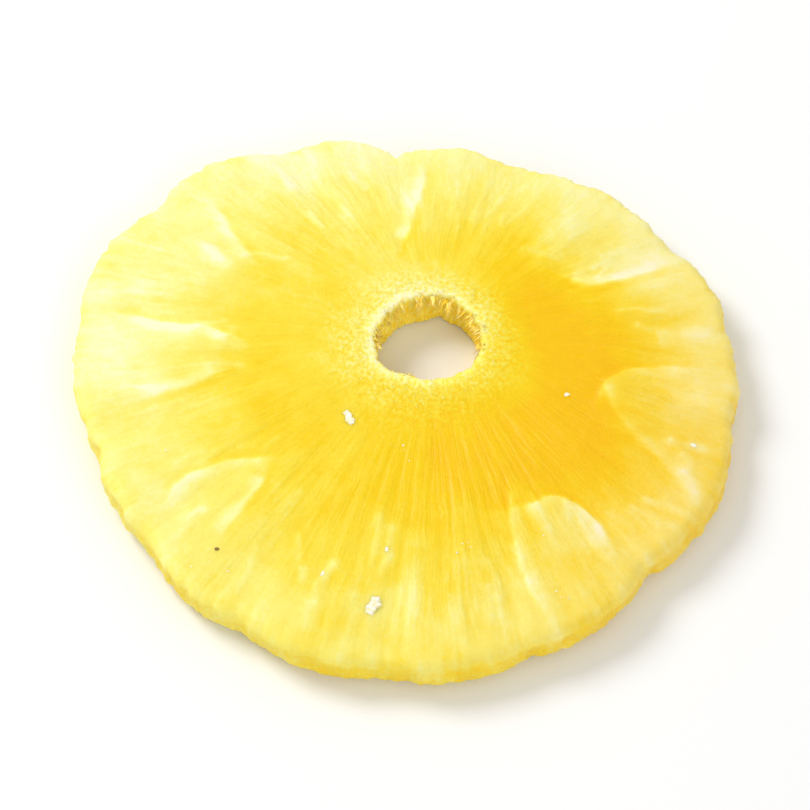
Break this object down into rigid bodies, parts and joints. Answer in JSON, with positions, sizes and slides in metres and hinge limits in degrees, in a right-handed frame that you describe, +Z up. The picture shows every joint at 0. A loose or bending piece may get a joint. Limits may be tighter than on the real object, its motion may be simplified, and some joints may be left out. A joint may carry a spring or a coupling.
{
  "type": "pineapple ring",
  "caption": "Thin round slice of candied pineapple with a punched core hole set off centre, a softly scalloped rim and low wedge-shaped fruitlets round the hole.",
  "frame": {"origin": "centre of the ring's bounding box, on the tray that its flat underside rests on", "axes": "+Z up out of the shown upper face, +X along the ring's longest width, +Y towards the side where the core hole sits"},
  "size_m": [0.0768, 0.0718, 0.0059],
  "materials": {
    "candied_flesh": "satin"
  },
  "bodies": {
    "root": {"pineapple_ring": "candied_flesh"}
  },
  "joints": []
}
